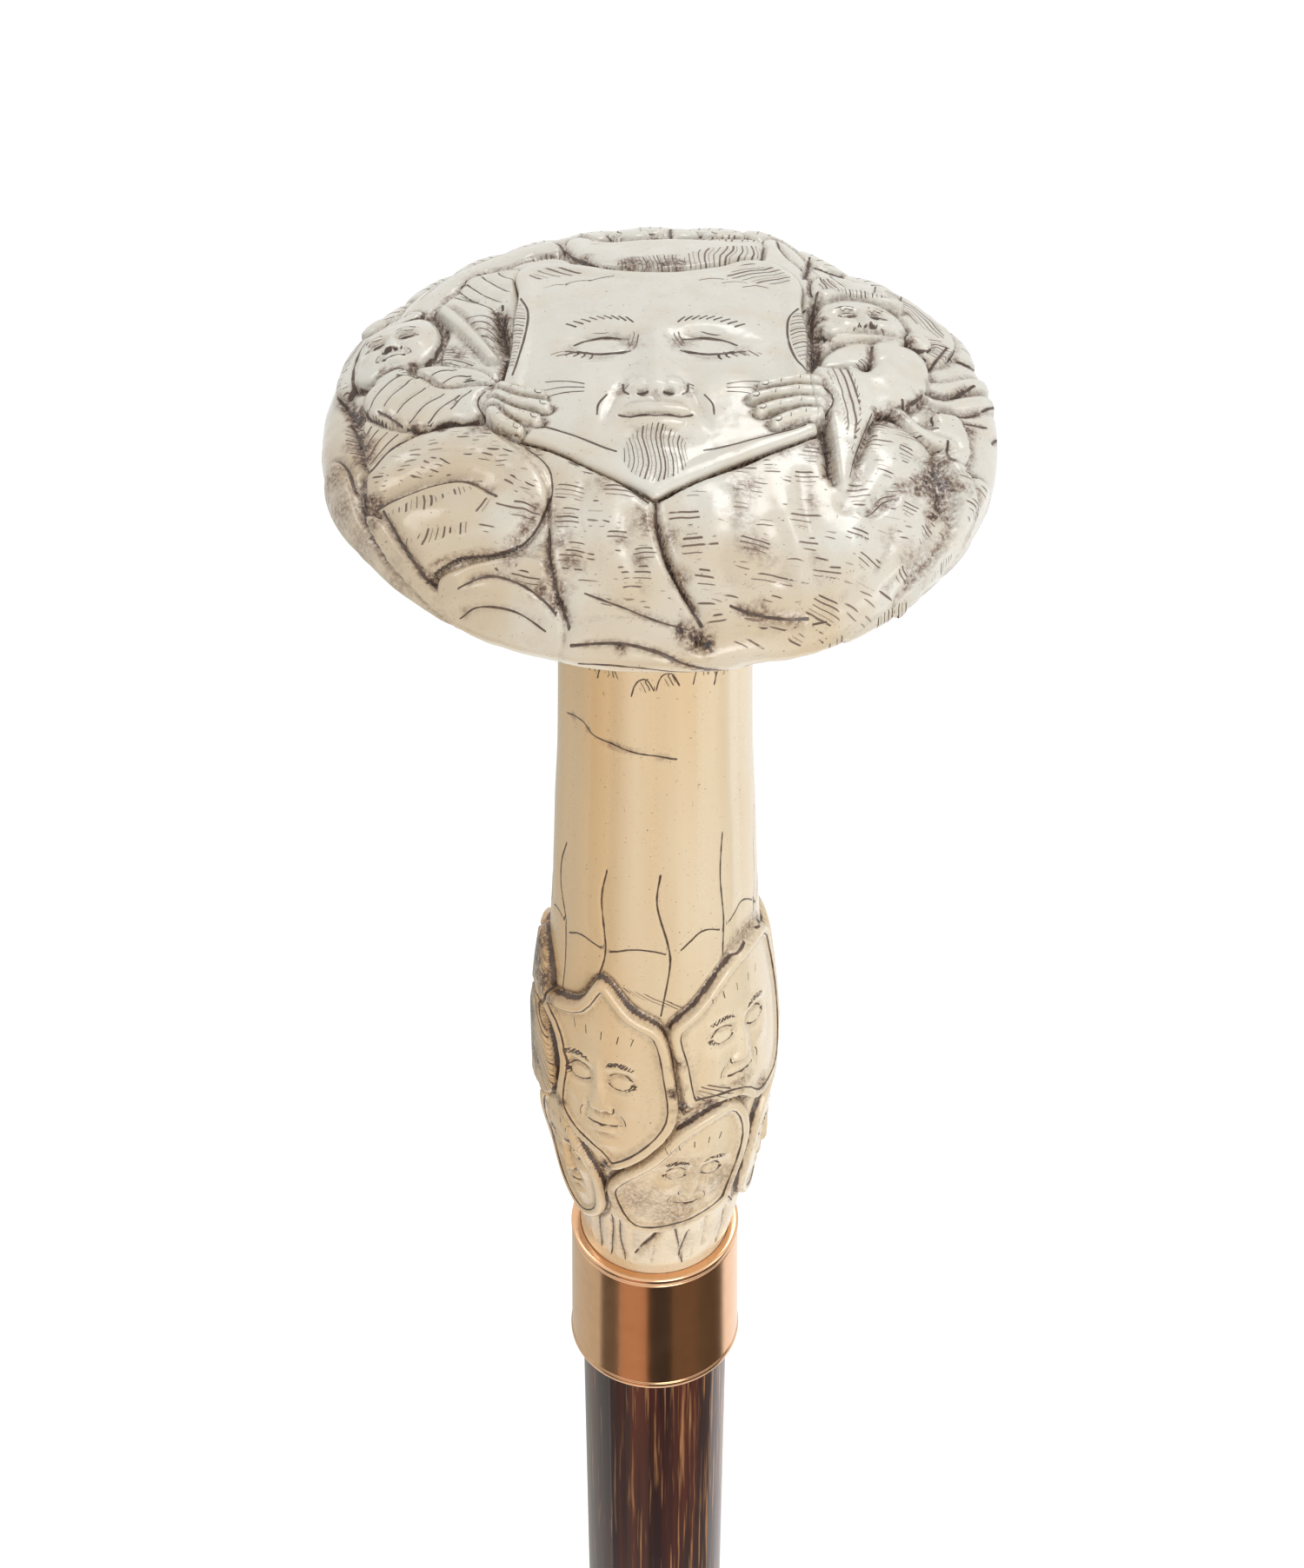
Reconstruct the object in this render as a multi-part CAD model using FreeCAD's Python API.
"""Carved walking stick: a mushroom-shaped carved cap on a carved stem, a metal collar and a tapered
wooden shaft that ends in a brass ferrule with an iron tip.

Millimetres, +Z up. The origin is the middle of the tip's flat foot and the shaft stands on +Z.
The carving's front, the side that the large mask's chin points to, faces -Y.
"""

import FreeCAD
import Part

import math
import os

V = FreeCAD.Vector
FOOT = V(0, 0, 0)
UP = V(0, 0, 1)
RIGHT = V(1, 0, 0)
HALF_TURN = math.pi
QUARTER_TURN = math.pi / 2

# Whole stick
overall_length = 900.0
handle_height = 137.4  # lower edge of the collar to the tip of the large mask's nose

# Cap: a lens-shaped mushroom with figures carved on its crown
cap_radius = 31.2
crown_height = 8.5
belly_depth = 6.0
seat_radius = 9.8  # flat on the cap's underside that sits on the stem
mask_rise = 1.1  # how far each layer of the carving stands over the crown
hat_rise = 1.0
cloth_rise = 0.7
hem_rise = 0.45
head_rise = 1.7
limb_rise = 1.45
fold_rise = 1.15
nose_rise = 1.5

# Stem
belly_radius = 12.3
plate_rise = 0.75
low_plate_rise = 0.6

# Collar: a turned tube, a little wider at its lower edge
collar_height = 18.7
collar_low_radius = 9.5
collar_top_radius = 9.2
collar_bore_radius = 8.2
collar_lip_round = 0.45
collar_edge_round = 0.25

# Shaft
shaft_low_radius = 5.8  # where the ferrule starts
joint_height = 9.0  # where stem and shaft meet, over the collar's lower edge

# Rod through the joint, and peg between cap and stem
rod_radius = 2.75
rod_depth_in_stem = 42.0
rod_depth_in_shaft = 48.0
peg_radius = 3.5
peg_depth_in_cap = 8.0
peg_depth_in_stem = 20.0
glue_gap = 0.05

# Ferrule, its two nails, and the iron tip
ferrule_length = 36.0
ferrule_radius = 6.1
ferrule_wall = 0.7
nail_radius = 0.6
nail_depth = 2.6  # into the wood
nail_height_share = 0.78  # of the ferrule's length
tip_radius = 5.6
tip_height = 7.0
tip_plug_length = 9.0
tip_edge_round = 0.9

overrun = 1.0  # how far a cutter runs past what it cuts

# Sizes and heights that follow
collar_z = overall_length - handle_height
collar_top_z = collar_z + collar_height
rim_z = overall_length - nose_rise - crown_height
seat_z = rim_z - belly_depth * math.sqrt(1 - (seat_radius / cap_radius) ** 2)
joint_z = collar_z + joint_height
spigot_radius = collar_bore_radius - glue_gap
ferrule_z = tip_height
ferrule_top_z = ferrule_z + ferrule_length
ferrule_bore_radius = ferrule_radius - ferrule_wall
plug_radius = ferrule_bore_radius - glue_gap
plug_top_z = ferrule_z + tip_plug_length

# Outlines on the crown, as shares of the cap's radius: x to the right, y away from the front
mask_shares = [
    (0.00, -0.55), (0.19, -0.44), (0.46, -0.28), (0.48, -0.08), (0.45, 0.12), (0.44, 0.34), (0.45, 0.55),
    (0.24, 0.52), (0.00, 0.49), (-0.22, 0.52), (-0.42, 0.51), (-0.43, 0.30), (-0.42, 0.10), (-0.46, -0.08),
    (-0.46, -0.28), (-0.19, -0.44),
]
hat_shares = [
    (-0.24, 0.56), (0.00, 0.53), (0.24, 0.56), (0.42, 0.60), (0.38, 0.74), (0.18, 0.82), (-0.08, 0.82),
    (-0.26, 0.74),
]
brim_shares = [
    (-0.76, 0.36), (-0.70, 0.58), (-0.54, 0.70), (-0.30, 0.80), (-0.28, 0.66), (-0.48, 0.58), (-0.62, 0.44),
]
left_robe_shares = [
    (-0.86, -0.20), (-0.60, -0.24), (-0.40, -0.38), (-0.33, -0.56), (-0.40, -0.70), (-0.64, -0.68),
    (-0.80, -0.46),
]
left_hem_shares = [(-0.66, -0.71), (-0.40, -0.73), (-0.31, -0.88), (-0.50, -0.82)]
middle_robe_shares = [
    (-0.42, -0.32), (-0.16, -0.48), (-0.02, -0.60), (0.00, -0.76), (0.09, -0.94), (-0.18, -0.93),
    (-0.28, -0.76), (-0.30, -0.58), (-0.36, -0.40),
]
right_robe_shares = [
    (0.03, -0.58), (0.20, -0.49), (0.44, -0.34), (0.54, -0.48), (0.62, -0.16), (0.80, -0.26), (0.80, -0.52),
    (0.56, -0.78), (0.34, -0.90), (0.12, -0.92), (0.03, -0.74),
]
cuff_shares = [(0.49, -0.02), (0.58, -0.03), (0.60, -0.20), (0.55, -0.36), (0.51, -0.46), (0.50, -0.22)]
crown_layers = [
    (mask_rise, mask_shares),
    (hat_rise, hat_shares),
    (hem_rise, brim_shares),
    (cloth_rise, left_robe_shares),
    (hem_rise, left_hem_shares),
    (cloth_rise, middle_robe_shares),
    (cloth_rise, right_robe_shares),
    (mask_rise, cuff_shares),
]

# Rounded forms on the crown, each a rise over the crown and then shares of the cap's radius: middle x
# and y, half length, half width, and the turn of the length from +X in degrees
rounded_form_shares = {
    "left bearer's head": (head_rise, (-0.74, 0.22, 0.17, 0.14, 60)),
    "right bearer's head": (head_rise, (0.63, 0.31, 0.17, 0.14, -20)),
    "left sleeve": (limb_rise, (-0.66, -0.08, 0.22, 0.12, -20)),
    "left shoulder": (fold_rise, (-0.55, 0.28, 0.20, 0.09, -60)),
    "left hand": (limb_rise, (-0.40, -0.17, 0.08, 0.06, -40)),
    "right sleeve": (limb_rise, (0.70, 0.04, 0.19, 0.11, 40)),
    "right hand": (limb_rise, (0.38, -0.13, 0.09, 0.06, 15)),
    "far right hand": (fold_rise, (0.85, -0.12, 0.10, 0.08, -70)),
    "left knee": (fold_rise, (-0.58, -0.42, 0.22, 0.15, 10)),
    "left lap": (fold_rise, (-0.52, -0.58, 0.17, 0.08, -15)),
    "middle fold": (fold_rise, (-0.16, -0.68, 0.20, 0.10, -75)),
    "right knee": (fold_rise, (0.40, -0.58, 0.26, 0.20, 10)),
    "nose": (nose_rise, (0.00, -0.02, 0.11, 0.07, 90)),
}

# The stem's outline over the collar, as shares: height of the stem's free length, radius of the belly's
stem_outline_shares = [
    (0.02, 0.70), (0.06, 0.77), (0.11, 0.85), (0.19, 0.95), (0.27, 1.00), (0.35, 0.985), (0.44, 0.90),
    (0.52, 0.85), (0.62, 0.81), (0.77, 0.765), (0.90, 0.755),
]
belly_stretch_shares = (0.04, 0.50)  # where the mask plates stand, over the stem's free length

# The small masks round the belly: degrees from the front, then height as a share of the free length
high_plate_shares = [
    [(-28, 0.464), (4, 0.412), (11, 0.284), (-23, 0.199), (-52, 0.297), (-78, 0.377), (-58, 0.405)],
    [(6, 0.409), (49, 0.480), (84, 0.453), (86, 0.288), (58, 0.252), (40, 0.288), (15, 0.302)],
    [(-58, 0.283), (-66, 0.319), (-82, 0.360), (-90, 0.458), (-118, 0.436), (-124, 0.288), (-98, 0.238),
     (-76, 0.256)],
    [(-128, 0.453), (-160, 0.472), (-172, 0.355), (-150, 0.243), (-128, 0.274)],
    [(92, 0.445), (130, 0.472), (168, 0.445), (182, 0.310), (150, 0.230), (112, 0.248), (92, 0.302)],
]
low_plate_shares = [
    [(12, 0.275), (42, 0.279), (52, 0.230), (41, 0.136), (15, 0.104), (-15, 0.100), (-28, 0.168),
     (-22, 0.194)],
    [(-54, 0.288), (-40, 0.221), (-30, 0.171), (-32, 0.113), (-52, 0.080), (-76, 0.131), (-72, 0.248)],
    [(60, 0.234), (84, 0.265), (108, 0.230), (104, 0.113), (76, 0.086), (54, 0.122)],
    [(116, 0.221), (150, 0.212), (168, 0.167), (150, 0.086), (122, 0.086)],
    [(-86, 0.212), (-124, 0.256), (-150, 0.221), (-142, 0.104), (-112, 0.080), (-86, 0.113)],
]
plate_root_share = 0.3  # how deep in the belly a plate starts, of its radius

cap_seam_degrees = 75  # where the turned cap's surface closes on itself, clear of the rounded forms


def turned(edges, seam_degrees=0):
    """The solid that a closed outline in the XZ plane makes when it is turned about the axis."""
    solid = Part.Face(Part.Wire(edges)).revolve(FOOT, UP, 360)
    solid.rotate(FOOT, UP, seam_degrees)
    return solid


def lines(*points):
    """Straight edges from point to point, each point a radius and a height."""
    places = [V(radius, 0, z) for radius, z in points]
    return [Part.makeLine(a, b) for a, b in zip(places, places[1:])]


def quarter_round(start, middle, end):
    """A rounded corner through three points, each a radius and a height."""
    return Part.Arc(*(V(radius, 0, z) for radius, z in (start, middle, end))).toShape()


def rod(radius, low_z, high_z):
    """A plain round bar along the stick's axis."""
    return Part.makeCylinder(radius, high_z - low_z, V(0, 0, low_z))


def prism(corners, direction):
    """A straight-sided block over a flat outline."""
    return Part.Face(Part.makePolygon(corners + corners[:1])).extrude(direction)


def cap_lens(rise):
    """The cap without its figures, half an ellipse above the rim and most of one below, grown by rise."""
    rim = cap_radius
    top = V(0, 0, rim_z + crown_height + rise)
    edge = V(rim, 0, rim_z)
    middle = V(0, 0, rim_z)
    crown = Part.ArcOfEllipse(Part.Ellipse(edge, top, middle), 0, QUARTER_TURN)
    bottom = V(0, 0, rim_z - belly_depth)
    underside = Part.ArcOfEllipse(Part.Ellipse(edge, bottom, middle), 0, math.acos(seat_radius / rim))
    seat = lines((seat_radius, seat_z), (0, seat_z), (0, top.z))
    return turned([crown.toShape(), underside.toShape()] + seat, cap_seam_degrees)


def crown_place(x, y):
    """The point of the bare crown over x and y, and the direction that leads straight out there."""
    height = crown_height * math.sqrt(1 - (x * x + y * y) / cap_radius ** 2)
    outward = V(x / cap_radius ** 2, y / cap_radius ** 2, height / crown_height ** 2)
    return V(x, y, rim_z + height), outward.normalize()


def rounded_form(rise, shares):
    """An egg-shaped swelling that is sunk in the crown and lies along it."""
    x, y, length, width = (share * cap_radius for share in shares[:4])
    turn = math.radians(shares[4])
    oval = Part.ArcOfEllipse(Part.Ellipse(V(length, 0, 0), V(0, width, 0), FOOT), 0, HALF_TURN).toShape()
    flat = Part.makeLine(V(-length, 0, 0), V(length, 0, 0))
    egg = Part.Face(Part.Wire([oval, flat])).revolve(FOOT, RIGHT, 360)
    place, outward = crown_place(x, y)
    along = V(math.cos(turn), math.sin(turn), 0)
    across = outward.cross(along).normalize()
    along = across.cross(outward)
    egg.Placement = FreeCAD.Placement(place + outward * (rise - width),
                                      FreeCAD.Rotation(along, across, outward, "ZXY"))
    return egg


def crown_layer(rise, shares):
    """A flat-edged layer of the carving, as thick as its rise over the crown."""
    corners = [V(x * cap_radius, y * cap_radius, rim_z) for x, y in shares]
    return cap_lens(rise).common(prism(corners, UP * (crown_height + rise + overrun)))


def make_cap():
    """The carved cap, with the peg's hole in its underside."""
    carving = [crown_layer(rise, shares) for rise, shares in crown_layers]
    carving += [rounded_form(rise, shares) for rise, shares in rounded_form_shares.values()]
    hole = rod(peg_radius + glue_gap, seat_z - overrun, seat_z + peg_depth_in_cap + glue_gap)
    return cap_lens(0).fuse(carving).cut(hole)


def stem_skin(rise):
    """The stem's turned shape with its spigot, and with the belly's stretch grown by rise."""
    free = seat_z - collar_top_z
    start, end = belly_stretch_shares
    places = [V(spigot_radius, 0, collar_top_z)]
    for height, width in stem_outline_shares:
        grown = rise if start < height < end else 0
        places.append(V(belly_radius * width + grown, 0, collar_top_z + free * height))
    places.append(V(seat_radius, 0, seat_z))
    side = Part.BSplineCurve()
    side.interpolate(places)
    return turned([side.toShape()] + lines((seat_radius, seat_z), (0, seat_z), (0, joint_z),
                                           (spigot_radius, joint_z), (spigot_radius, collar_top_z)))


def mask_plate(rise, shares):
    """One small mask's plate on the belly, cut straight towards the middle of its own width."""
    free = seat_z - collar_top_z
    angles = [degrees for degrees, height in shares]
    middle = (min(angles) + max(angles)) / 2
    reach = belly_radius + rise
    out = V(0, -1, 0)
    corners = [
        V(reach * math.sin(math.radians(degrees - middle)), 0, collar_top_z + free * height)
        + out * reach * plate_root_share
        for degrees, height in shares
    ]
    block = prism(corners, out * reach)
    block.rotate(FOOT, UP, middle)
    return stem_skin(rise).common(block)


def make_stem():
    """The carved stem, with the rod's hole below and the peg's hole above."""
    plates = [mask_plate(plate_rise, shares) for shares in high_plate_shares]
    plates += [mask_plate(low_plate_rise, shares) for shares in low_plate_shares]
    rod_hole = rod(rod_radius + glue_gap, joint_z - overrun, joint_z + rod_depth_in_stem + glue_gap)
    peg_hole = rod(peg_radius + glue_gap, seat_z - peg_depth_in_stem - glue_gap, seat_z + overrun)
    return stem_skin(0).fuse(plates).cut([rod_hole, peg_hole])


def make_collar():
    """A tube with a rounded lip above and a softened edge below."""
    bow = 1 - math.sqrt(0.5)
    low, top, lip, edge = collar_low_radius, collar_top_radius, collar_lip_round, collar_edge_round
    foot_round = quarter_round((low - edge, collar_z), (low - edge * bow, collar_z + edge * bow),
                               (low, collar_z + edge))
    lip_round = quarter_round((top, collar_top_z - lip), (top - lip * bow, collar_top_z - lip * bow),
                              (top - lip, collar_top_z))
    wall = lines((low, collar_z + edge), (top, collar_top_z - lip))
    inside = lines((top - lip, collar_top_z), (collar_bore_radius, collar_top_z),
                   (collar_bore_radius, collar_z), (low - edge, collar_z))
    return turned([foot_round] + wall + [lip_round] + inside)


def make_shaft():
    """The tapered wood, with a spigot for the ferrule and holes for the rod and the nails."""
    wood = turned(lines((0, plug_top_z), (plug_radius, plug_top_z), (plug_radius, ferrule_top_z),
                        (shaft_low_radius, ferrule_top_z), (spigot_radius, collar_z),
                        (spigot_radius, joint_z), (0, joint_z), (0, plug_top_z)))
    hole = rod(rod_radius + glue_gap, joint_z - rod_depth_in_shaft - glue_gap, joint_z + overrun)
    return wood.cut([hole] + nail_bars(overrun))


def nail_bars(extra):
    """The two nails, on the stick's left and right, each longer by extra at its outer end."""
    length = ferrule_radius - plug_radius + nail_depth + extra
    height = ferrule_z + ferrule_length * nail_height_share
    bars = []
    for side in (RIGHT, RIGHT * -1):
        inner = V(0, 0, height) + side * (plug_radius - nail_depth)
        bars.append(Part.makeCylinder(nail_radius, length, inner, side))
    return bars


def make_ferrule():
    """The brass tube at the foot, with a hole for each nail."""
    tube = rod(ferrule_radius, ferrule_z, ferrule_top_z)
    bore = rod(ferrule_bore_radius, ferrule_z - overrun, ferrule_top_z + overrun)
    return tube.cut([bore] + nail_bars(overrun))


def make_nails():
    """Both nails, filed flush with the round of the ferrule."""
    outside = rod(ferrule_radius, ferrule_z, ferrule_top_z)
    return Part.makeCompound([bar.common(outside) for bar in nail_bars(overrun)])


def make_tip():
    """The iron tip: a flat foot with a rounded edge, and a plug up inside the ferrule."""
    bow = 1 - math.sqrt(0.5)
    edge = tip_edge_round
    foot_round = quarter_round((tip_radius - edge, 0), (tip_radius - edge * bow, edge * bow),
                               (tip_radius, edge))
    rest = lines((tip_radius, edge), (tip_radius, ferrule_z), (plug_radius, ferrule_z),
                 (plug_radius, plug_top_z), (0, plug_top_z), (0, 0), (tip_radius - edge, 0))
    return turned([foot_round] + rest)


def make_rod():
    """The steel rod that joins the stem to the shaft."""
    return rod(rod_radius, joint_z - rod_depth_in_shaft, joint_z + rod_depth_in_stem)


def make_peg():
    """The peg that holds the cap on the stem."""
    return rod(peg_radius, seat_z - peg_depth_in_stem, seat_z + peg_depth_in_cap)


pieces = {
    "carved_cap": make_cap,
    "cap_peg": make_peg,
    "carved_stem": make_stem,
    "joining_rod": make_rod,
    "collar": make_collar,
    "shaft": make_shaft,
    "ferrule": make_ferrule,
    "ferrule_nails": make_nails,
    "ferrule_tip": make_tip,
}

os.makedirs("parts", exist_ok=True)
for name, make in pieces.items():
    piece = make()
    print(name, piece.isValid(), len(piece.Solids), round(piece.Volume, 1))
    piece.exportStep("parts/" + name + ".step")
